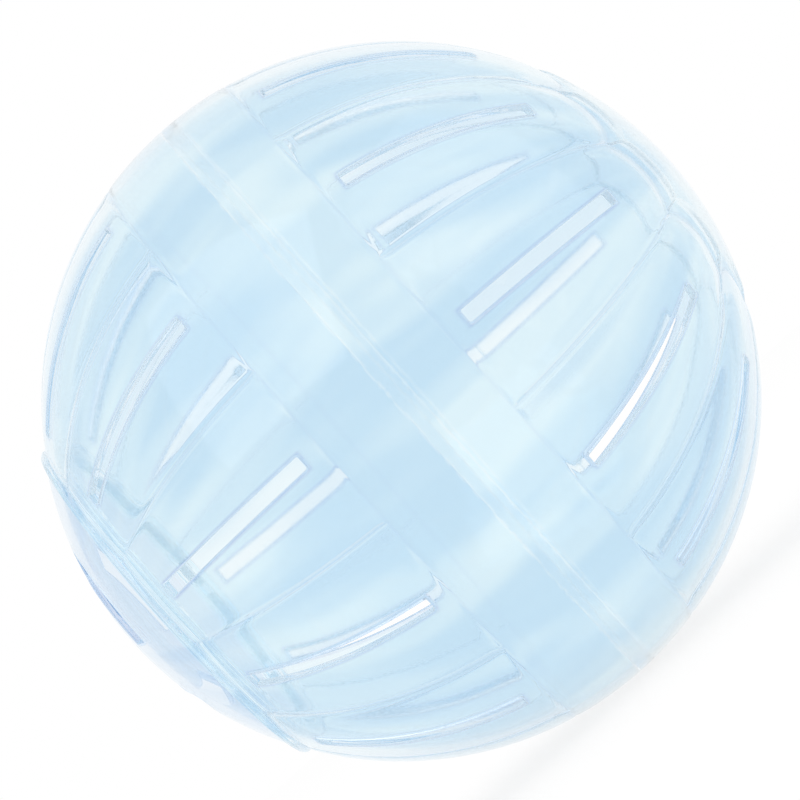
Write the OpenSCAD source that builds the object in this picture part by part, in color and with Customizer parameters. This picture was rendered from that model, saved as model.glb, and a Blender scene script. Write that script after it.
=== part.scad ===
// Ventilated exercise ball for a small rodent: two clear hemispheres and a round push-in door.
// The polar axis is X. The closed pole points along +X and the door faces -X.
// Each half is drawn with its pole up the Z axis and turned onto X at the end.

/* [Ball] */
// Outside diameter of the ball
ball_d = 120; // [100:1:180]
// Thickness of every moulded wall
wall_t = 1.4; // [1.2:0.1:2.4]

/* [Panels] */
// Number of panels, and of slots, round each half
panel_count = 12; // [8:2:16]
// Latitude at which a panel starts beside the equator, in degrees
panel_foot_lat = 12.4; // [8:0.2:15]
// Latitude at which the round top of a closed-half panel is centred, in degrees
panel_top_lat = 56.5; // [54:0.5:60]
// Width of the groove that outlines each panel
groove_w = 0.8; // [0.5:0.1:1.4]
// Depth of the groove that outlines each panel
groove_depth = 0.4; // [0.2:0.05:0.6]

/* [Air slots] */
// Width of an air slot
slot_w = 2.4; // [1.6:0.1:3.2]
// Latitude of the end of a slot that is nearer the equator, in degrees
slot_foot_lat = 16; // [15:0.5:20]
// Latitude of the end of a slot that is nearer the pole, in degrees
slot_top_lat = 50.5; // [44:0.5:52]

/* [Equator joint] */
// How far the lip of the door half reaches into the closed half
lap_h = 3; // [2:0.25:5]
// Thickness of that lip
lap_t = 0.6; // [0.4:0.05:0.7]
// Gap all round the lip
lap_clearance = 0.1; // [0.05:0.05:0.2]
// Open line between the two halves at the equator
seam_gap = 0.1; // [0.05:0.05:0.3]

/* [Door opening] */
// Diameter of the bore that the door sits in
opening_d = 64.5; // [56:0.5:72]
// Thickness of the collar round the bore
collar_t = 1.2; // [0.8:0.1:2]
// Depth of the bore, from the edge of the ball to the underside of the ledge
collar_depth = 4; // [3.4:0.1:6]
// How far the ledge reaches in under the door
ledge_w = 1.6; // [1:0.1:2.4]
// Thickness of the ledge
ledge_t = 1.2; // [0.8:0.1:1.6]
// How far the bead round the opening stands proud of the ball
bead_rise = 0.5; // [0.3:0.1:0.8]

/* [Door] */
// Gap between the door and its bore, all round
door_clearance = 0.25; // [0.15:0.05:0.4]
// Thickness of the skirt that the door is pressed in by
skirt_t = 1.2; // [0.8:0.1:2]
// Gap between the skirt and the ledge that stops it
seat_gap = 0.1; // [0.05:0.05:0.3]
// Number of grip ribs on the skirt
rib_count = 6; // [3:1:12]
// Width of a grip rib
rib_w = 1.2; // [0.8:0.1:2]
// Gap between a grip rib and the bore
rib_clearance = 0.08; // [0.04:0.02:0.12]
// Number of slots in the door
door_slot_count = 3; // [2:1:4]
// Width of a door slot, wide enough for a fingertip
door_slot_w = 6; // [2:0.5:8]
// Distance from the middle of the door to the outer edge of its slots, along the curve of the door
door_slot_reach = 20; // [16:0.5:24]
// Width of the bridge between two door slots
door_bridge_w = 15.5; // [8:0.5:18]

/* [Hidden] */
$fn = 144;

// Cuts run this far past what they cut
overrun = 2;

ball_r = ball_d / 2;
inner_r = ball_r - wall_t;
// Cuts through the wall reach from this radius to that one
cut_foot_r = inner_r - overrun;
cut_top_r = ball_r + overrun;
panel_step = 360 / panel_count;
// A length along the surface, seen from the centre, as an angle
function arc_deg(len) = len / ball_r * 180 / PI;
groove_deg = arc_deg(groove_w);

// Angle across half a panel, square to its middle line, where its round top is centred
top_half_deg = asin(sin(panel_step / 2) * cos(panel_top_lat));
// The round top is wider than the panel there by this share, so its edge meets the groove at a corner
top_round_share = 1.06;
panel_round_deg = top_half_deg * top_round_share;
// Latitude at which the grooves over two neighbouring round tops meet
top_level = sin(panel_top_lat);
top_reach = cos(panel_top_lat) * cos(panel_step / 2);
meet_lat = atan2(top_level, top_reach) + acos(cos(panel_round_deg + groove_deg / 2) / norm([top_level, top_reach]));

lip_r = inner_r + lap_t;
opening_r = opening_d / 2;
// Height of the edge of the opening above the equator
rim_z = sqrt(pow(ball_r, 2) - pow(opening_r, 2));
collar_foot_z = rim_z - collar_depth;
ledge_top_z = collar_foot_z + ledge_t;
bead_lat = acos((opening_r + collar_t) / ball_r);
door_r = opening_r - door_clearance;
rib_rise = door_clearance - rib_clearance;
skirt_foot_z = ledge_top_z + seat_gap;
door_slot_foot_lat = 90 - arc_deg(door_slot_reach);
door_slot_top_lat = door_slot_foot_lat + arc_deg(door_slot_w);
door_slot_step = 360 / door_slot_count;
// Angle that a door slot spans, from the length of its outer edge
door_slot_sweep = door_slot_step - door_bridge_w / (ball_r * cos(door_slot_foot_lat)) * 180 / PI;

plastic = [0.72, 0.85, 0.96, 0.55];

// Copies the children at equal steps round the polar axis
module around(count) {
    for (i = [0 : count - 1]) rotate([0, 0, i * 360 / count]) children();
}

// Slab that stands across a meridian and runs along it from one latitude to another, with radial ends
module meridian_slab(lat_from, lat_to, width) {
    rotate([90, 0, 0])
        rotate([0, 0, lat_from])
            rotate_extrude(angle = lat_to - lat_from)
                translate([cut_foot_r, -width / 2])
                    square([cut_top_r - cut_foot_r, width]);
}

// Section of a cut through the wall from one latitude to another, with radial edges
module band_section(lat_from, lat_to) {
    polygon([
        [cut_foot_r * cos(lat_from), cut_foot_r * sin(lat_from)],
        [cut_top_r * cos(lat_from), cut_top_r * sin(lat_from)],
        [cut_top_r * cos(lat_to), cut_top_r * sin(lat_to)],
        [cut_foot_r * cos(lat_to), cut_foot_r * sin(lat_to)]
    ]);
}

// Band all round the ball from one latitude to another
module ring_band(lat_from, lat_to) {
    rotate_extrude() band_section(lat_from, lat_to);
}

// Curved slots round the middle of the door, with a bridge between each two
module door_slots() {
    around(door_slot_count)
        rotate([0, 0, (door_slot_step - door_slot_sweep) / 2])
            rotate_extrude(angle = door_slot_sweep) band_section(door_slot_foot_lat, door_slot_top_lat);
}

// Arc over the round top of one panel, which runs out just past the middle lines beside the panel
module top_arc() {
    arc_foot = cut_foot_r * cos(panel_round_deg + groove_deg);
    intersection() {
        rotate([0, 90 - panel_top_lat, 0])
            translate([0, 0, arc_foot])
                difference() {
                    cylinder(h = cut_top_r - arc_foot, r = ball_r * sin(panel_round_deg + groove_deg));
                    translate([0, 0, -overrun])
                        cylinder(h = cut_top_r - arc_foot + 2 * overrun, r = ball_r * sin(panel_round_deg));
                }
        rotate([0, 0, -(panel_step + groove_deg) / 2])
            rotate_extrude(angle = panel_step + groove_deg)
                translate([overrun, ball_r * sin(panel_top_lat)])
                    square([ball_r, ball_r]);
    }
}

// Keeps the outermost skin of what it is given, which makes a cutter as shallow as a groove
module groove_skin() {
    difference() {
        children();
        sphere(r = ball_r - groove_depth);
    }
}

// Grooves between the panels of one half, up to a latitude
module side_grooves(lat_to) {
    groove_skin()
        around(panel_count)
            rotate([0, 0, panel_step / 2]) meridian_slab(panel_foot_lat - groove_deg / 2, lat_to, groove_w);
}

// Slots through the wall, one down the middle of each panel
module air_slots() {
    around(panel_count) meridian_slab(slot_foot_lat, slot_top_lat, slot_w);
}

// Hollow ball above a height over the equator
module dome(from_z) {
    difference() {
        sphere(r = ball_r);
        sphere(r = inner_r);
        translate([-ball_d, -ball_d, from_z - 2 * ball_d]) cube([2 * ball_d, 2 * ball_d, 2 * ball_d]);
    }
}

// Hemisphere with a smooth round pole, rebated inside its rim for the lip of the other half
module closed_half() {
    color(plastic)
        rotate([0, 90, 0])
            difference() {
                dome(seam_gap);
                groove_skin() ring_band(panel_foot_lat - groove_deg, panel_foot_lat);
                translate([0, 0, seam_gap - overrun])
                    cylinder(h = overrun + lap_h + lap_clearance, r = lip_r + lap_clearance);
                side_grooves(meet_lat);
                groove_skin() around(panel_count) top_arc();
                air_slots();
            }
}

// Inner half of the wall, carried past the equator as the lip of the lap joint
module equator_lip() {
    difference() {
        translate([0, 0, -lap_h]) cylinder(h = 2 * lap_h, r = lip_r);
        sphere(r = inner_r);
    }
}

// Bead, bore wall and ledge round the door opening
module door_collar() {
    difference() {
        intersection() {
            translate([0, 0, collar_foot_z]) cylinder(h = ball_r - collar_foot_z, r = opening_r + collar_t);
            sphere(r = ball_r + bead_rise);
        }
        translate([0, 0, ledge_top_z]) cylinder(h = ball_r, r = opening_r);
        translate([0, 0, collar_foot_z - overrun]) cylinder(h = ball_r, r = opening_r - ledge_w);
    }
}

// Hemisphere with the lip of the lap joint and the round door opening
module door_half() {
    color(plastic)
        rotate([0, -90, 0]) {
            difference() {
                dome(0);
                groove_skin() ring_band(panel_foot_lat - groove_deg, panel_foot_lat);
                groove_skin() ring_band(bead_lat - groove_deg, bead_lat);
                cylinder(h = ball_r + overrun, r = opening_r + collar_t / 2);
                side_grooves(bead_lat - groove_deg / 2);
                air_slots();
            }
            mirror([0, 0, 1]) equator_lip();
            door_collar();
        }
}

// Skirt of the door, with the ribs that grip the bore
module door_skirt() {
    skirt_h = rim_z - skirt_foot_z;
    translate([0, 0, skirt_foot_z])
        difference() {
            union() {
                cylinder(h = skirt_h, r = door_r);
                around(rib_count)
                    translate([0, -rib_w / 2, 0]) cube([door_r + rib_rise, rib_w, skirt_h]);
            }
            translate([0, 0, -overrun]) cylinder(h = skirt_h + 2 * overrun, r = door_r - skirt_t);
        }
}

// Round door that finishes the ball, pressed into its bore by the skirt and pulled off by its curved slots
module door() {
    color(plastic)
        rotate([0, -90, 0]) {
            difference() {
                intersection() {
                    dome(0);
                    cylinder(h = ball_r + overrun, r = door_r);
                }
                door_slots();
            }
            intersection() {
                door_skirt();
                sphere(r = ball_r);
            }
        }
}

closed_half();
door_half();
door();
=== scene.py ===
import bmesh
import bpy
import numpy as np
from mathutils import Matrix, Vector


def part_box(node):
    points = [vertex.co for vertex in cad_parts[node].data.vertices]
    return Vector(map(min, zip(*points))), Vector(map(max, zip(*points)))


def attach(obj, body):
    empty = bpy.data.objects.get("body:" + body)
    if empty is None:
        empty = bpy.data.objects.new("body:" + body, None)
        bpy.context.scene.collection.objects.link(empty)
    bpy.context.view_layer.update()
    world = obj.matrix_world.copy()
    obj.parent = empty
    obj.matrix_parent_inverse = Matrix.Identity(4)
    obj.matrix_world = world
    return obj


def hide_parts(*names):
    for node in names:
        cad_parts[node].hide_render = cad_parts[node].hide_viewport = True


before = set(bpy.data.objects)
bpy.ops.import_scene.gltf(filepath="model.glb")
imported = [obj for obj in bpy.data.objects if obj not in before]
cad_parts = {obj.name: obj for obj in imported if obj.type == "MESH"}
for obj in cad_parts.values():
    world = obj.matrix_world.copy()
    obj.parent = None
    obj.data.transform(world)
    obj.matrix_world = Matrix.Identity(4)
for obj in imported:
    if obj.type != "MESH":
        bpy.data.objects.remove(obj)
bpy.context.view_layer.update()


# Closed half: the hemisphere with the round pole, moulded in clear pale blue polystyrene in a polished tool.
# Twelve softly domed panels with round tops stand between fine creases, an air slot runs down the middle of
# each, and a rebate inside the rim takes the lip of the other half.
MM = 0.001
ball_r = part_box("closed_half")[1].x
wall = 1.4 * MM
inner_r = ball_r - wall
panel_count = 12
half_panel = np.pi / panel_count
# A smooth belt runs beside the equator, up to the foot of the panels.
belt_lat = np.radians(12.4)
slot_foot_lat = np.radians(16)
slot_top_lat = np.radians(50.5)
slot_half = 1.2 * MM
slot_edge_round = 0.3 * MM
slot_corner_round = 0.35 * MM
# A ring of points this far under a slot's rounded edge keeps the shading of its wall flat.
edge_hold = 0.15 * MM
top_centre_lat = np.radians(56.5)
top_round = np.radians(9.1)
dome_drop = 0.35 * MM
dome_foot_reach = 2 * MM
crease_drop = 0.17 * MM
crease_reach = 0.35 * MM
shoulder_drop = 0.25 * MM
shoulder_reach = 3.2 * MM
cap_reach = 3.0 * MM
valley = dome_drop + crease_drop
gate_r = 1.5 * MM
gate_width = 0.25 * gate_r
gate_depth = 0.2 * MM
seam_gap = 0.1 * MM
lap_depth = 3.1 * MM
rebate_r = inner_r + 0.7 * MM
# The lip of the other half tapers from its root to its tip, and the rebate follows it at the lap gap.
lip_tip = 0.2 * MM
lap_gap = 0.1 * MM
weld_gap = 0.0005 * MM
# Corners over this angle stay sharp.
crisp_angle = np.radians(50)
# Share of the deeper edge colour on each surface: the blue of cut edges, and painted shade at the creases,
# their shoulders, the door half's slopes and round the slots. Below zero a surface loses the wall's colour:
# the two plies of the lap together hold no more plastic than the wall.
slot_tint = 0.15
slot_edge_tint = 0.35
# Painted shade: a dark line of edge colour round each slot, on both sides of the wall, standing in for the
# shade at its edge.
painted_outline_share = 0.9
painted_outline_reach = 0.5 * MM
# Painted shade: a darker line along each crease, and a little on the shoulders of the domes beside it.
crease_painted_shade = 0.3
shoulder_painted_shade = 0.15
lap_tint = -1.0


def spread(first, last, count, pull=0.8):
    """Values from first to last in count steps, closer at both ends: t - pull sin(2 pi t) / (2 pi)."""
    t = np.linspace(0, 1, count + 1)
    return first + (last - first) * (t - pull * np.sin(2 * np.pi * t) / (2 * np.pi))


# The grid of a panel. Its columns are a strip as wide as the slot, in shares of its half width, and steps
# from there to the crease on each side. Its rows begin with the belt, the foot of the panel and the slot.
strip_steps = np.array([-1, -0.87, -0.72, -0.55, -0.3, 0, 0.3, 0.55, 0.72, 0.87, 1])
side_steps = spread(0, 1, 14)
belt_count = 10
foot_count = 6
slot_count = 26
crest_count = 12
pole_count = 26
round_lat = slot_edge_round / ball_r
foot_rows = spread(belt_lat, slot_foot_lat - round_lat, foot_count, pull=0.5)
slot_rows = spread(slot_foot_lat - round_lat, slot_top_lat + round_lat, slot_count)
# The slot's points in that grid, as rows and columns.
slot_row = belt_count + foot_count
slot_column = len(side_steps) - 1
slot_block = (slice(slot_row, slot_row + slot_count + 1), slice(slot_column, slot_column + len(strip_steps)))


def smooth(t):
    """Smooth step from 0 to 1: 3 t^2 - 2 t^3."""
    t = np.clip(t, 0, 1)
    return t * t * (3 - 2 * t)


def on_ball(side, r, lat, turn):
    """Points at radius r, latitude lat from the equator and turn about X from +Z toward -Y. Side 1 is the
    +X half and side -1 the other."""
    out = r * np.cos(lat)
    return np.stack([side * r * np.sin(lat), -out * np.sin(turn), out * np.cos(turn)], -1)


def on_profile(r, lat):
    """(height above the equator, distance from X) of a latitude on a sphere: (r sin(lat), r cos(lat))."""
    return r * np.sin(lat), r * np.cos(lat)


def panel_turns(r, lat):
    """Turns of a panel's columns at each latitude. A turn of the strip is arcsin(distance from the middle
    line / (r cos lat)), held past the slot's ends. The side steps share out the rest up to the crease."""
    ring_r = (r * np.cos(np.clip(lat, slot_rows[0], slot_rows[-1])))[..., None]
    strip = np.arcsin((slot_half + slot_edge_round) * strip_steps / ring_r)
    right = strip[..., -1:] + side_steps[1:] * (half_panel - strip[..., -1:])
    return np.concatenate([-right[..., ::-1], strip, right], -1)


def crest_lat(turn):
    """Latitude of the crease over a round top: where a circle of radius top_round about the top's centre
    meets a meridian, from A sin(lat) + B cos(lat) = cos(top_round)."""
    a, b = np.sin(top_centre_lat), np.cos(top_centre_lat) * np.cos(turn)
    return np.arctan2(a, b) + np.arccos(np.cos(top_round) / np.hypot(a, b))


def to_side(lat, turn):
    """Distance along the surface from a point to the crease beside its panel."""
    return ball_r * np.cos(lat) * (half_panel - np.abs(turn))


def to_arc(lat, turn):
    """Distance from a point down to the crease over a round top, and below zero on the cap above it."""
    level = np.sin(lat) * np.sin(top_centre_lat) + np.cos(lat) * np.cos(top_centre_lat) * np.cos(turn)
    return ball_r * (top_round - np.arccos(np.clip(level, -1, 1)))


def dome_depth(lat, reach):
    """Depth of a panel's dome under the sphere: it grows by the square of the way from middle to edge."""
    width = ball_r * np.cos(lat) * half_panel
    rise = smooth(ball_r * (lat - belt_lat) / dome_foot_reach)
    return dome_drop * (1 - np.clip(reach / width, 0, 1)) ** 2 * rise


def crease_depth(lat, reach):
    """Depth of the narrow creases beside a panel and at its foot, where the belt begins: each dies out with
    exp(-distance / crease reach)."""
    above_foot = ball_r * (lat - belt_lat)
    side = np.exp(-np.abs(reach) / crease_reach) * smooth(above_foot / crease_reach + 0.5)
    return crease_drop * np.maximum(side, np.exp(-np.abs(above_foot) / crease_reach))


def gate_ring(lat):
    """A shallow ring round the gate mark at a pole: exp(-((distance from the pole - radius) / width)^2)."""
    from_pole = ball_r * (np.pi / 2 - lat)
    return gate_depth * np.exp(-(((from_pole - gate_r) / gate_width) ** 2))


def closed_relief(lat, turn):
    """The relief that both sides of the closed half's wall follow: domes with round shoulders below the
    crest, and above it a soft rise to the smooth cap."""
    beside, under_arc = to_side(lat, turn), to_arc(lat, turn)
    high = lat > top_centre_lat
    dome = dome_depth(lat, np.where(high, np.minimum(beside, under_arc), beside))
    shoulder = np.where(high, shoulder_drop * smooth(1 - under_arc / shoulder_reach), 0)
    cap = (dome_drop + shoulder_drop) * smooth(1 + under_arc / cap_reach)
    return np.where(lat > crest_lat(turn), cap, dome + shoulder)


def closed_depth(lat, turn):
    """Depth of the closed half's outside under the sphere: relief, creases and the ring at its pole."""
    beside, under_arc = to_side(lat, turn), to_arc(lat, turn)
    to_crease = np.where(lat > top_centre_lat, np.minimum(beside, np.abs(under_arc)), beside)
    to_crease = np.where(lat > crest_lat(turn), np.abs(under_arc), to_crease)
    return closed_relief(lat, turn) + crease_depth(lat, to_crease) + gate_ring(lat)


def patch(points, tint, hole=None, closed=False):
    """One grid of points as (vertices, quads, tints). hole marks quads to leave out, closed joins the last
    column to the first."""
    index = np.arange(points.shape[0] * points.shape[1]).reshape(points.shape[:2])
    if closed:
        index = np.hstack([index, index[:, :1]])
    quads = np.stack([index[:-1, :-1], index[:-1, 1:], index[1:, 1:], index[1:, :-1]], -1)
    quads = quads.reshape(-1, 4) if hole is None else quads[~hole]
    return points.reshape(-1, 3), quads, np.broadcast_to(tint, points.shape[:2]).ravel()


def turned(points, tint, count, hole=None, closed=False):
    """Copies of one panel's grid at equal turns about X."""
    made = []
    for k in range(count):
        a = 2 * np.pi * k / count
        y, z = points[..., 1], points[..., 2]
        copy = np.stack([points[..., 0], y * np.cos(a) - z * np.sin(a), y * np.sin(a) + z * np.cos(a)], -1)
        made.append(patch(copy, tint, hole, closed))
    return made


def swept(side, profile, first, last):
    """A profile of (height above the equator, distance from X) turned about X, from one border row of points
    to another."""
    turns = [np.arctan2(-row[:, 1], row[:, 2]) for row in (first, last)]
    turn = turns[0] + np.linspace(0, 1, len(profile))[:, None] * (turns[1] - turns[0])
    height, radius = profile[:, :1], profile[:, 1:]
    band = np.stack([side * height + 0 * turn, -radius * np.sin(turn), radius * np.cos(turn)], -1)
    band[0], band[-1] = first, last
    return band


def straight(lat, turn):
    """Flat coordinates of a slot that runs along a meridian: distance from the middle line, and along it."""
    return ball_r * np.cos(lat) * np.sin(turn), ball_r * lat


def from_straight(r, across, along):
    """Latitude and turn of such coordinates at radius r, where the walls stay parallel."""
    lat = along / ball_r
    return lat, np.arcsin(across / (r * np.cos(lat)))


def slot_walls(side, depth, depth_in, lat, turn, tint=slot_tint, flat=straight, from_flat=from_straight):
    """The wall of one slot, as rings from the outside in: rounded edge, flat wall, rounded edge. lat and
    turn are the panel's grid round the slot. A ring is a rectangle with round corners in the slot's flat
    coordinates, drawn in by its inset, on which a point near a corner goes out from the corner's centre. The
    first and last rings carry the painted dark outline's share of edge colour, which is painted shade, the
    rounded edges their own share, and the wall its own."""
    loop = [np.concatenate([g[0, :-1], g[:-1, -1], g[-1, :0:-1], g[:0:-1, 0]]) for g in (lat, turn)]
    across, along = flat(*loop)
    mid_across, mid = (across.min() + across.max()) / 2, (along.min() + along.max()) / 2
    half_wide, half_long = np.ptp(across) / 2, np.ptp(along) / 2
    across, along = across - mid_across, along - mid
    bend = np.linspace(0, np.pi / 2, 4)
    inset = slot_edge_round * np.concatenate([[0], np.sin(bend), [1, 1], np.sin(bend[::-1]), [0]])
    drop = slot_edge_round * (1 - np.cos(bend))
    sunk = np.concatenate([[0], drop, drop[-1:] + edge_hold])
    ring_tints = [painted_outline_share] + [max(slot_edge_tint, tint)] * len(bend) + [tint]
    points, tints = [], []
    for ring in range(len(inset)):
        sharp = ring in (0, len(inset) - 1)
        corner = 0 if sharp else slot_corner_round + slot_edge_round - inset[ring]
        wide, long = half_wide - inset[ring] - corner, half_long - inset[ring] - corner
        u = across * (half_wide - inset[ring]) / half_wide
        v = along * (half_long - inset[ring]) / half_long
        du, dv = np.abs(u) - wide, np.abs(v) - long
        at_corner = (du > 0) & (dv > 0) & (not sharp)
        push = np.where(at_corner, corner / np.maximum(np.hypot(du, dv), 1e-12), 1)
        u = np.where(at_corner, np.sign(u) * (wide + du * push), u)
        v = np.where(at_corner, np.sign(v) * (long + dv * push), v)
        u, v = u + mid_across, v + mid
        outside = ball_r - depth(*from_flat(ball_r, u, v))
        inside = inner_r - depth_in(*from_flat(inner_r, u, v))
        from_top = ring < len(sunk)
        r = outside - sunk[ring] if from_top else inside + sunk[len(inset) - 1 - ring]
        points.append(on_ball(side, r, *from_flat(r, u, v)))
        tints.append(np.full(len(u), ring_tints[min(ring, len(inset) - 1 - ring)]))
    return np.array(points), np.array(tints)


def moulding(name, patches):
    """One closed mesh from many grids: equal points are welded, which also closes the poles. Corners over
    the crisp angle stay sharp, so that the flats beside them are shaded flat."""
    counts = np.cumsum([0] + [len(p[0]) for p in patches])
    quads = np.concatenate([p[1] + start for p, start in zip(patches, counts)])
    mesh = bpy.data.meshes.new(name)
    mesh.from_pydata(np.concatenate([p[0] for p in patches]).tolist(), [], quads.tolist())
    tint = mesh.attributes.new("edge_and_shade_tint", "FLOAT", "POINT")
    tint.data.foreach_set("value", np.concatenate([p[2] for p in patches]).astype(np.float32))
    work = bmesh.new()
    work.from_mesh(mesh)
    bmesh.ops.remove_doubles(work, verts=work.verts, dist=weld_gap)
    bmesh.ops.recalc_face_normals(work, faces=work.faces)
    if work.calc_volume(signed=True) < 0:
        bmesh.ops.reverse_faces(work, faces=work.faces)
    work.to_mesh(mesh)
    work.free()
    mesh.polygons.foreach_set("use_smooth", np.ones(len(mesh.polygons), bool))
    mesh.set_sharp_from_angle(angle=crisp_angle)
    piece = bpy.data.objects.new(name, mesh)
    bpy.context.scene.collection.objects.link(piece)
    return piece


def low_rows(start_lat):
    """Latitudes from a rim to the slot's top: the belt, the foot of the panels, and the slot."""
    belt_rows = spread(start_lat, belt_lat, belt_count, pull=0.75)
    return np.concatenate([belt_rows[:-1], foot_rows[:-1], slot_rows])


def slot_hole(rows, columns):
    """Marks the quads that a slot takes out of a panel's grid."""
    hole = np.zeros((rows - 1, columns - 1), bool)
    hole[slot_row:slot_row + slot_count, slot_column:slot_column + len(strip_steps) - 1] = True
    return hole


def closed_grid(r, start_lat):
    """Latitudes and turns of one panel and its share of the cap. Rows run level up to the slot's top, then
    bend to follow the crest, and from there close in on the pole."""
    low = low_rows(start_lat)
    turn = panel_turns(r, low)
    crest = crest_lat(turn[-1])
    to_crest = slot_rows[-1] + spread(0, 1, crest_count, pull=0.7)[1:, None] * (crest - slot_rows[-1])
    to_pole = crest + spread(0, 1, pole_count, pull=0.85)[1:, None] * (np.pi / 2 - crest)
    lat = np.concatenate([low[:, None] + 0 * turn, to_crest, to_pole])
    turn = np.concatenate([turn, np.tile(turn[-1], (len(lat) - len(turn), 1))])
    return lat, turn


def painted_outline(lat, turn):
    """Painted shade: a narrow dark line of edge colour round the slot, standing in for the shade at its
    edge.
    It fades with the larger of the distances past the slot's side and past its end."""
    across = ball_r * np.cos(lat) * np.abs(np.sin(turn)) - slot_half - slot_edge_round
    along = ball_r * np.maximum(slot_rows[0] - lat, lat - slot_rows[-1])
    return painted_outline_share * smooth(1 - np.maximum(across, along) / painted_outline_reach)


def outline_and_crease_shade(lat, turn, relief, depth):
    """Painted shade in edge colour on the outside: a dark outline round the slot, darker creases, and a
    little on their shoulders.
    """
    line = crease_painted_shade * smooth((depth - relief) / crease_drop)
    return np.maximum(painted_outline(lat, turn), line + shoulder_painted_shade * smooth(relief / valley) ** 2)


def closed_half():
    """Outside, inside, slots and rim of the closed half."""
    foot = seam_gap + lap_depth
    start_lat, rebate_lat = np.arcsin(seam_gap / ball_r), np.arcsin(foot / inner_r)
    lat, turn = closed_grid(ball_r, start_lat)
    relief, depth = closed_relief(lat, turn), closed_depth(lat, turn)
    hole = slot_hole(*lat.shape)
    outside = on_ball(1, ball_r - depth, lat, turn)
    patches = turned(outside, outline_and_crease_shade(lat, turn, relief, depth), panel_count, hole)
    lat_in, turn_in = closed_grid(inner_r, rebate_lat)
    inside = on_ball(1, inner_r - closed_relief(lat_in, turn_in), lat_in, turn_in)
    patches += turned(inside, painted_outline(lat_in, turn_in), panel_count, hole)
    walls, tints = slot_walls(1, closed_depth, closed_relief, lat[slot_block], turn[slot_block])
    patches += turned(walls, tints, panel_count, closed=True)
    rim = np.array([on_profile(ball_r, start_lat), (seam_gap, rebate_r),
                    (foot, inner_r + lip_tip + lap_gap), on_profile(inner_r, rebate_lat)])
    patches += turned(swept(1, rim, outside[0], inside[0]), lap_tint, panel_count)
    return moulding("closed_half_shell", patches)


closed_shell = closed_half()


# Clear polystyrene from a polished tool: it bends light like soft glass, is nearly colourless through a flat
# wall and shows its blue at cut edges, where the eye looks along the plastic. The same deeper colour is
# painted shade at the creases, their shoulders, the door half's slopes and round the slots. The melt ran
# from the gate at the pole to the rim, which leaves soft streaks of colour and slow waves. A fine haze
# softens what is seen through both walls, and the cut edges are clear.
wall_colour = "#DFF0FA"
pale_colour = "#EEF9FD"
edge_and_shade_colour = "#CAD6EE"
bare_colour = "#FFFFFF"
streak_width = 11 * MM
streak_length = 45 * MM
# The noise between these values is spread over the whole way from the wall's colour to the pale one.
streak_low, streak_high = 0.41, 0.59
# Near the axis, where all streaks would run together, they fade to the middle of the two colours.
fade_from = 3 * MM
fade_to = 26 * MM
fade_level = 0.5
# Each half takes its noise this far out along X, so that the two halves differ.
half_shift = 7.3
wave_length = 11 * MM
wave_height = 0.25 * MM
wave_strength = 0.12
# The haze's noise between low and high is roughness between least and most.
haze_grain = 0.9 * MM
haze_low, haze_high = 0.45, 0.75
haze_least, haze_most = 0.04, 0.075
# Haze and waves fade out up to this share of edge colour, above or below zero: a cut edge has none.
cut_from = 0.15
# Sockets of a Mix node by number: two numbers, two colours, and the colour that comes out.
number_a, number_b, colour_a, colour_b, colour_out = 2, 3, 6, 7, 2


def linear(code):
    """An sRGB hex colour as linear red, green, blue and alpha."""
    rgb = np.array([int(code[i:i + 2], 16) for i in (1, 3, 5)]) / 255
    return (*np.where(rgb <= 0.04045, rgb / 12.92, ((rgb + 0.055) / 1.055) ** 2.4), 1.0)


def add(tree, kind, sockets={}, **settings):
    """Adds a node. settings are its own properties, and sockets gives inputs a value or the output that
    feeds them."""
    made = tree.nodes.new(kind)
    for name, value in settings.items():
        setattr(made, name, value)
    for name, value in sockets.items():
        if isinstance(value, bpy.types.NodeSocket):
            tree.links.new(value, made.inputs[name])
        else:
            made.inputs[name].default_value = value
    return made


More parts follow.
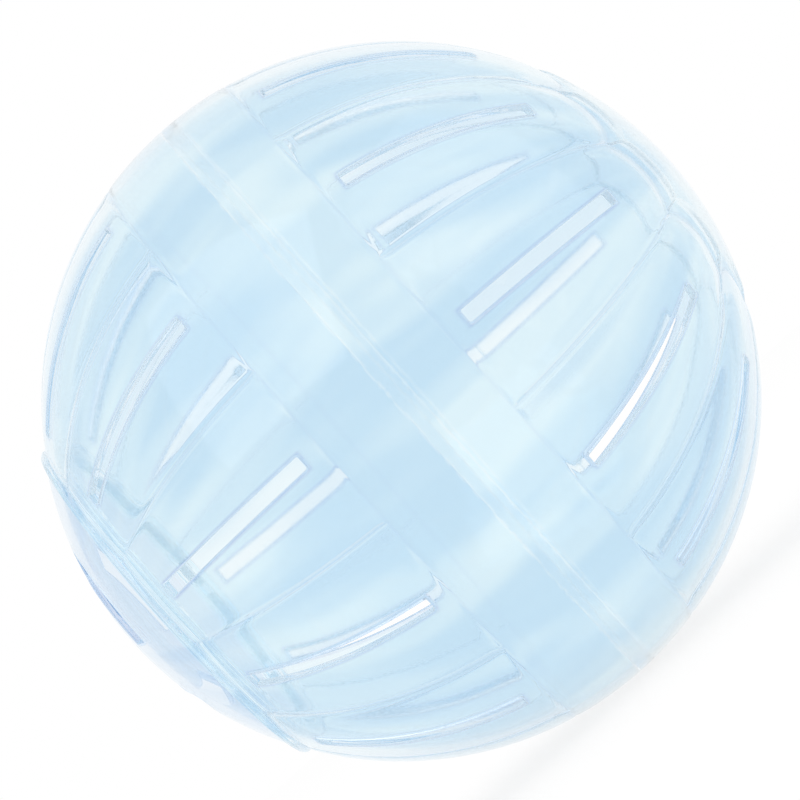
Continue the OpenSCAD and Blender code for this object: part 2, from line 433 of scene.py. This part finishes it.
def clear_polystyrene():
    """Streaks come from noise on (x / streak length, unit vector of (y, z) x ball radius / streak width), so
    they run from pole to rim, and a shift by the sign of x gives each half its own."""
    made = bpy.data.materials.new("clear_polystyrene_pale_blue")
    made.use_nodes = True
    tree = made.node_tree
    tree.nodes.clear()
    place = add(tree, "ShaderNodeTexCoord").outputs["Object"]
    edge = add(tree, "ShaderNodeAttribute", attribute_name="edge_and_shade_tint").outputs["Fac"]
    cut = add(tree, "ShaderNodeMath", {0: edge}, operation="ABSOLUTE").outputs[0]
    bare = add(tree, "ShaderNodeMath", {0: edge, 1: -1.0}, operation="MULTIPLY").outputs[0]

    off_axis = add(tree, "ShaderNodeVectorMath", {0: place, 1: (0, 1, 1)}, operation="MULTIPLY").outputs[0]
    around = add(tree, "ShaderNodeVectorMath", {0: off_axis}, operation="NORMALIZE").outputs[0]
    from_axis = add(tree, "ShaderNodeVectorMath", {0: off_axis}, operation="LENGTH").outputs["Value"]
    side = add(tree, "ShaderNodeVectorMath", {0: place}, operation="SIGN").outputs[0]
    shift = add(tree, "ShaderNodeVectorMath", {0: side, 1: (half_shift, 0, 0)}, operation="MULTIPLY")
    along = add(tree, "ShaderNodeVectorMath",
                {0: place, 1: (1 / streak_length, 0, 0), 2: shift.outputs[0]},
                operation="MULTIPLY_ADD").outputs[0]
    pull = ball_r / streak_width
    streak_place = add(tree, "ShaderNodeVectorMath", {0: around, 1: (0, pull, pull), 2: along},
                       operation="MULTIPLY_ADD").outputs[0]
    streak = add(tree, "ShaderNodeTexNoise",
                 {"Vector": streak_place, "Scale": 1.0, "Detail": 1.5, "Roughness": 0.4}).outputs["Fac"]
    streak = add(tree, "ShaderNodeMapRange",
                 {"Value": streak, "From Min": streak_low, "From Max": streak_high},
                 interpolation_type="SMOOTHSTEP").outputs[0]
    strength = add(tree, "ShaderNodeMapRange",
                   {"Value": from_axis, "From Min": fade_from, "From Max": fade_to},
                   interpolation_type="SMOOTHSTEP").outputs[0]
    streak = add(tree, "ShaderNodeMix", {0: strength, number_a: fade_level, number_b: streak}).outputs[0]

    colour = add(tree, "ShaderNodeMix",
                 {0: streak, colour_a: linear(wall_colour), colour_b: linear(pale_colour)},
                 data_type="RGBA").outputs[colour_out]
    # Edge colour: the blue of cut edges, and painted shade at the creases, their shoulders, the slopes and
    # round the slots.
    colour = add(tree, "ShaderNodeMix", {0: edge, colour_a: colour, colour_b: linear(edge_and_shade_colour)},
                 data_type="RGBA").outputs[colour_out]
    colour = add(tree, "ShaderNodeMix", {0: bare, colour_a: colour, colour_b: linear(bare_colour)},
                 data_type="RGBA").outputs[colour_out]

    haze = add(tree, "ShaderNodeTexNoise",
               {"Vector": place, "Scale": 1 / haze_grain, "Detail": 3.0}).outputs["Fac"]
    haze = add(tree, "ShaderNodeMapRange", {"Value": haze, "From Min": haze_low, "From Max": haze_high,
                                            "To Min": haze_least, "To Max": haze_most}).outputs[0]
    haze = add(tree, "ShaderNodeMapRange",
               {"Value": cut, "From Max": cut_from, "To Min": haze, "To Max": 0.0}).outputs[0]

    wave = add(tree, "ShaderNodeTexNoise",
               {"Vector": place, "Scale": 1 / wave_length, "Detail": 1.0}).outputs["Fac"]
    waviness = add(tree, "ShaderNodeMapRange",
                   {"Value": cut, "From Max": cut_from, "To Min": wave_strength, "To Max": 0.0}).outputs[0]
    bump = add(tree, "ShaderNodeBump",
               {"Height": wave, "Distance": wave_height, "Strength": waviness}).outputs[0]

    shader = add(tree, "ShaderNodeBsdfPrincipled", {"Base Color": colour, "Roughness": haze, "IOR": 1.5,
                                                    "Transmission Weight": 1.0, "Normal": bump}).outputs[0]
    add(tree, "ShaderNodeOutputMaterial", {"Surface": shader})
    return made


plastic = clear_polystyrene()
closed_shell.data.materials.append(plastic)
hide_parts("closed_half")
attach(closed_shell, "closed_half")


# Door half: the hemisphere with the door opening, moulded in the same plastic. Its panels end in sloped
# shoulders at the bead round the opening. Behind the bead stand a bore and a ledge for the door, and at the
# equator the inner part of the wall runs on as the lip of the lap joint.
opening_r = 32.25 * MM
collar_r = opening_r + 1.2 * MM
bead_r = ball_r + 0.5 * MM
bead_lat = np.arccos(collar_r / ball_r)
bead_round = 0.2 * MM
# The bead's flank leads this far up and out from its foot, its crown starts this far inside the collar, and
# a chamfer leads down into the bore.
flank_up = 0.55 * MM
flank_out = 0.25 * MM
crown_in = 0.35 * MM
lead_in = 0.1 * MM
collar_foot = 46.596 * MM
ledge_top = collar_foot + 1.2 * MM
ledge_r = opening_r - 1.6 * MM
# A row of points this far above the ledge keeps the bore's shading flat.
bore_hold = 1.6 * MM
lip_r = inner_r + 0.6 * MM
lip_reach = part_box("door_half")[1].x
fillet = 0.45 * MM
fillet_reach = 1.5 * fillet
slope_length = 2.4 * MM
slope_drop = 0.13 * MM
# Depth of the domes where they meet the bead, on average.
dome_at_bead = 0.3 * dome_drop
# Share by which a slope is shorter beside the creases than at the panel's middle.
slope_shorter = 0.6
# Painted shade in edge colour on each panel's slope down to the bead.
slope_painted_shade = 0.45
bead_band = 0.4 * MM
bead_tint = 0.1
bore_tint = -0.35
# A rounded corner takes up at most this share of a side. The point that holds the flat beside it lies this
# many radii from the corner, and at most at that share of the side.
round_share = 0.4
hold_radii = 1.4
hold_share = 0.47


def soften(corners, radius):
    """A profile with each inner corner rounded off: a quadratic curve between the points one radius to each
    side. One more point close beyond each end keeps the shading of the flats between the corners flat."""
    corners = np.array(corners, float)
    t = np.linspace(0, 1, 5)[:, None]
    rows = [corners[:1]]
    for before, corner, after in zip(corners[:-2], corners[1:-1], corners[2:]):
        sides = [p - corner for p in (before, after)]
        a, b = (corner + v * min(radius / np.linalg.norm(v), round_share) for v in sides)
        hold = hold_radii * radius
        far_a, far_b = (corner + v * min(hold / np.linalg.norm(v), hold_share) for v in sides)
        rows += [far_a[None], (1 - t) ** 2 * a + 2 * t * (1 - t) * corner + t**2 * b, far_b[None]]
    return np.concatenate(rows + [corners[-1:]])


def rim_slope(lat, turn):
    """Each panel ends in a slope down to the bead's foot, longest at the panel's middle: from 0 to 1."""
    length = slope_length * (1 - slope_shorter * (np.abs(turn) / half_panel) ** 2)
    return smooth(1 - ball_r * (bead_lat - lat) / length)


def door_half_relief(lat, turn):
    """The relief that both sides of the door half's wall follow: the panels' domes and slopes."""
    return dome_depth(lat, to_side(lat, turn)) + slope_drop * rim_slope(lat, turn)


def door_half_depth(lat, turn):
    """Depth of the door half's outside under the sphere: its relief and its creases."""
    return door_half_relief(lat, turn) + crease_depth(lat, to_side(lat, turn))


def door_half_grid(r, start_lat, end_lat):
    """Latitudes and turns of one panel of the door half, in level rows from the rim to the door opening."""
    low = low_rows(start_lat)
    lat = np.concatenate([low, spread(low[-1], end_lat, crest_count, pull=0.75)[1:]])
    turn = panel_turns(r, lat)
    return lat[:, None] + 0 * turn, turn


def door_half():
    """Outside, inside, slots, lip, bead, bore and ledge of the door half."""
    lat, turn = door_half_grid(ball_r, 0, bead_lat)
    relief, depth = door_half_relief(lat, turn), door_half_depth(lat, turn)
    hole = slot_hole(*lat.shape)
    outside = on_ball(-1, ball_r - depth, lat, turn)
    # The outside carries the painted shade of outlines, creases and shoulders, and painted shade on the
    # slopes.
    tint = outline_and_crease_shade(lat, turn, relief, depth) + slope_painted_shade * rim_slope(lat, turn)
    patches = turned(outside, tint, panel_count, hole)
    collar_lat = np.arccos((collar_r + fillet) / inner_r)
    lip_lat = -np.arcsin(lip_reach / inner_r)
    lat_in, turn_in = door_half_grid(inner_r, lip_lat, collar_lat)
    inside = on_ball(-1, inner_r - door_half_relief(lat_in, turn_in), lat_in, turn_in)
    patches += turned(inside, painted_outline(lat_in, turn_in), panel_count, hole)
    walls, tints = slot_walls(-1, door_half_depth, door_half_relief, lat[slot_block], turn[slot_block])
    patches += turned(walls, tints, panel_count, closed=True)
    rim = np.array([(0, ball_r), (0, lip_r), (-lip_reach, inner_r + lip_tip), on_profile(inner_r, lip_lat)])
    patches += turned(swept(-1, rim, outside[0], inside[0]), lap_tint, panel_count)
    collar_middle = opening_r + 0.5 * (collar_r - opening_r)
    bead_top = np.sqrt(bead_r**2 - collar_middle**2)
    foot = on_profile(ball_r - slope_drop - dome_at_bead, bead_lat)
    end = on_profile(inner_r, collar_lat)
    bead = [foot, (foot[0] + flank_up, foot[1] + flank_out), (bead_top, collar_r - crown_in),
            (bead_top + lead_in, opening_r + lead_in), (ledge_top + bore_hold, opening_r)]
    ledge = [(ledge_top, opening_r), (ledge_top, ledge_r), (collar_foot, ledge_r), (collar_foot, collar_r),
             (end[0] - fillet_reach, collar_r), end]
    collar = swept(-1, soften(bead + ledge, bead_round), outside[-1], inside[-1])
    tint = np.where(-collar[..., 0] > bead_top - bead_band, bead_tint, bore_tint)
    patches += turned(collar, tint, panel_count)
    return moulding("door_half_shell", patches)


door_half_shell = door_half()
door_half_shell.data.materials.append(plastic)
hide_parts("door_half")
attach(door_half_shell, "door_half")


# Door: the round cap that finishes the ball, moulded in the same plastic. A skirt with six fine ribs presses
# into the bore, and three curved slots in its face let air in and give a fingertip something to pull on.
door_r = opening_r - 0.25 * MM
skirt_r = door_r - 1.2 * MM
skirt_foot = ledge_top + 0.1 * MM
skirt_top = np.sqrt(ball_r**2 - door_r**2)
door_edge_round = 0.3 * MM
# A row of points this far under the door's edge keeps the shading of the skirt flat.
skirt_hold = 0.6 * MM
rib_count = 6
rib_rise = 0.17 * MM
# A rib's flank slopes down to its foot, measured from its middle line, and its ends slope in the same way.
rib_half = 0.6 * MM
rib_foot = 1.3 * rib_half
rib_flank = 0.6 * rib_half
rib_end = 3 * rib_rise
# Points of the skirt this near to its outer radius lie on its outer wall.
skirt_slack = 0.01 * MM
door_slot_count = 3
door_slot_w = 6 * MM
door_slot_reach = 20 * MM
half_door_sector = np.pi / door_slot_count
door_slot_foot = np.pi / 2 - door_slot_reach / ball_r
door_slot_top = door_slot_foot + door_slot_w / ball_r
door_bridge = 15.5 * MM
half_door_slot = half_door_sector - door_bridge / 2 / (ball_r * np.cos(door_slot_foot))
face_tint = 0.3
door_slot_tint = 0.8
door_edge_tint = 0.1
door_edge_band = 0.4 * MM


def door_depth(lat, turn):
    """Depth of the door's face under the sphere: smooth, with the ring round the gate mark at its middle."""
    return gate_ring(lat) + 0 * turn


def smooth_inside(lat, turn):
    """The door is smooth inside."""
    return 0 * turn


def curved(lat, turn):
    """Flat coordinates of a slot that runs round the pole: distance from the equator, and along the slot."""
    return ball_r * lat, ball_r * np.cos(door_slot_foot) * turn


def from_curved(r, across, along):
    """Latitude and turn of such coordinates, the same at every radius."""
    return across / ball_r, along / (ball_r * np.cos(door_slot_foot))


def with_ribs(points):
    """The skirt's outer wall swells into ribs, each with a flat top and sloped sides and ends."""
    height, radius = -points[..., 0], np.hypot(points[..., 1], points[..., 2])
    turn = np.arctan2(-points[..., 1], points[..., 2])
    between = np.pi / rib_count
    off = door_r * np.abs((turn + between) % (2 * between) - between)
    rise = rib_rise * smooth((rib_foot - off) / rib_flank) * smooth((height - skirt_foot) / rib_end)
    on_wall = radius > door_r - skirt_slack
    rise = np.where(on_wall, rise, 0) * smooth((skirt_top - height) / rib_end)
    points[..., 1:] *= (1 + rise / radius)[..., None]
    return points


def door():
    """Face, inside, slots and ribbed skirt of the door."""
    slot_from, slot_to = door_slot_foot - round_lat, door_slot_top + round_lat
    slot_end = half_door_slot + round_lat / np.cos(door_slot_foot)
    slot = spread(slot_from, slot_to, count=10, pull=0.6)
    middle = spread(-slot_end, slot_end, count=44, pull=0.6)
    bridge = spread(slot_end, half_door_sector, count=8, pull=0.5)[1:]
    turn = np.concatenate([-bridge[::-1], middle, bridge]) + half_door_sector
    low_count = 12
    edge_lat = np.arccos((door_r - door_edge_round) / ball_r)
    inner_edge_lat = np.arccos((skirt_r - door_edge_round) / inner_r)
    to_pole = spread(slot_to, np.pi / 2, count=20)[1:]
    grids = []
    for start in (edge_lat, inner_edge_lat):
        lat = np.concatenate([spread(start, slot_from, low_count)[:-1], slot, to_pole])
        grids.append(np.meshgrid(lat, turn, indexing="ij"))
    (lat, turn), (lat_in, turn_in) = grids
    block = (slice(low_count, low_count + len(slot)), slice(len(bridge), len(bridge) + len(middle)))
    hole = np.zeros((lat.shape[0] - 1, lat.shape[1] - 1), bool)
    hole[low_count:block[0].stop - 1, len(bridge):block[1].stop - 1] = True
    face = on_ball(-1, ball_r - door_depth(lat, turn), lat, turn)
    inside = on_ball(-1, inner_r, lat_in, turn_in)
    patches = turned(face, face_tint, door_slot_count, hole)
    patches += turned(inside, face_tint, door_slot_count, hole)
    walls, tints = slot_walls(-1, door_depth, smooth_inside, lat[block], turn[block], door_slot_tint, curved,
                              from_curved)
    patches += turned(walls, tints, door_slot_count, closed=True)
    end = on_profile(inner_r, inner_edge_lat)
    edge = [on_profile(ball_r, edge_lat), (skirt_top, door_r), (skirt_top - skirt_hold, door_r),
            (skirt_foot, door_r), (skirt_foot, skirt_r), (end[0] - door_edge_round, skirt_r), end]
    skirt = with_ribs(swept(-1, soften(edge, door_edge_round), face[0], inside[0]))
    tint = np.where(-skirt[..., 0] > skirt_top - door_edge_band, door_edge_tint, bore_tint)
    patches += turned(skirt, tint, door_slot_count)
    return moulding("door_shell", patches)


door_shell = door()
door_shell.data.materials.append(plastic)
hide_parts("door")
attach(door_shell, "door")


# Studio: a pale matt floor that the ball rests on, white all round it, and two softboxes.
studio_span = 6.0
floor_colour = "#E7E7E7"
# What the eye sees of the floor is this grey, which carries the shadow, and light of its own up to white.
shadow_colour = "#7C7C7C"
floor_lift = 0.83
# The white all round lights the ball at this strength, and the eye sees it at 1.
room_light = 0.8


def seen_by_eye(tree):
    """1 for what is seen, also in the plastic and through it, and 0 for the light on the object."""
    path = add(tree, "ShaderNodeLightPath").outputs
    direct = {0: path["Is Camera Ray"], 1: path["Is Glossy Ray"]}
    seen = add(tree, "ShaderNodeMath", direct, operation="ADD").outputs[0]
    seen = {0: seen, 1: path["Is Transmission Ray"]}
    return add(tree, "ShaderNodeMath", seen, operation="ADD", use_clamp=True).outputs[0]


def white_floor():
    """Matt vinyl sheet in pale grey. What the eye sees of it is lifted to white and keeps a light shadow."""
    made = bpy.data.materials.new("white_floor_vinyl")
    made.use_nodes = True
    tree = made.node_tree
    tree.nodes.clear()
    matt = add(tree, "ShaderNodeBsdfDiffuse", {"Color": linear(floor_colour)}).outputs[0]
    thin = add(tree, "ShaderNodeBsdfDiffuse", {"Color": linear(shadow_colour)}).outputs[0]
    lift = add(tree, "ShaderNodeEmission", {"Color": linear("#FFFFFF"), "Strength": floor_lift}).outputs[0]
    white = add(tree, "ShaderNodeAddShader", {0: thin, 1: lift}).outputs[0]
    both = add(tree, "ShaderNodeMixShader", {0: seen_by_eye(tree), 1: matt, 2: white}).outputs[0]
    add(tree, "ShaderNodeOutputMaterial", {"Surface": both})
    return made


def white_room():
    """The world: white to the eye, and a little dimmer as light on the object."""
    made = bpy.data.worlds.new("studio")
    made.use_nodes = True
    tree = made.node_tree
    tree.nodes.clear()
    light = add(tree, "ShaderNodeMath", {0: seen_by_eye(tree), 1: 1 - room_light, 2: room_light},
                operation="MULTIPLY_ADD").outputs[0]
    sky = add(tree, "ShaderNodeBackground", {"Color": linear("#FFFFFF"), "Strength": light}).outputs[0]
    add(tree, "ShaderNodeOutputWorld", {"Surface": sky})
    return made


def softbox(name, place, aim, size, power):
    """A square area lamp that faces a point."""
    lamp = bpy.data.lights.new(name, "AREA")
    lamp.size = size
    lamp.energy = power
    thing = bpy.data.objects.new(name, lamp)
    thing.location = place
    thing.rotation_euler = (Vector(aim) - Vector(place)).to_track_quat("-Z", "Y").to_euler()
    bpy.context.scene.collection.objects.link(thing)


bpy.ops.mesh.primitive_plane_add(size=studio_span, location=(0, 0, -ball_r))
floor = bpy.context.object
floor.name = "studio_floor"
floor.data.materials.append(white_floor())
bpy.context.scene.world = white_room()
softbox("key_softbox", place=(-0.5, -0.9, 1.1), aim=(0, 0, 0), size=1.6, power=3.5)
softbox("fill_softbox", place=(1.2, -0.5, 0.6), aim=(0, 0, 0), size=1.6, power=2)


# Camera: a long lens at the photograph's viewing angle, a little under the ball's centre. It is rolled so
# that the closed pole points up and to the right.
view_distance = 9.5 * ball_r
azimuth, elevation, roll = np.radians([0.8, -3.0, 41.7])
frame_width = 800
ball_pixels = 361.0
centre_off = 1.0
sensor = 36.0
light_bounces = 256

back = Vector((np.sin(azimuth) * np.cos(elevation), -np.cos(azimuth) * np.cos(elevation), np.sin(elevation)))
level = Vector((np.cos(azimuth), np.sin(azimuth), 0))
upright = back.cross(level)
right = np.cos(roll) * level - np.sin(roll) * upright
up = np.sin(roll) * level + np.cos(roll) * upright
turn_to_view = Matrix((right, up, back)).transposed().to_4x4()
camera = bpy.data.objects.new("camera", bpy.data.cameras.new("camera"))
camera.matrix_world = Matrix.Translation(back * view_distance) @ turn_to_view
camera.data.sensor_width = sensor
camera.data.lens = sensor * ball_pixels / frame_width * np.sqrt((view_distance / ball_r) ** 2 - 1)
camera.data.shift_x = -centre_off / frame_width
camera.data.shift_y = centre_off / frame_width
bpy.context.scene.collection.objects.link(camera)
bpy.context.scene.camera = camera
bpy.context.scene.view_settings.view_transform = "Standard"
# Light that is caught in the walls has to find its way out, or it would leave black lines in clear plastic.
bpy.context.scene.cycles.max_bounces = light_bounces
bpy.context.scene.cycles.transmission_bounces = light_bounces
bpy.context.scene.cycles.glossy_bounces = light_bounces
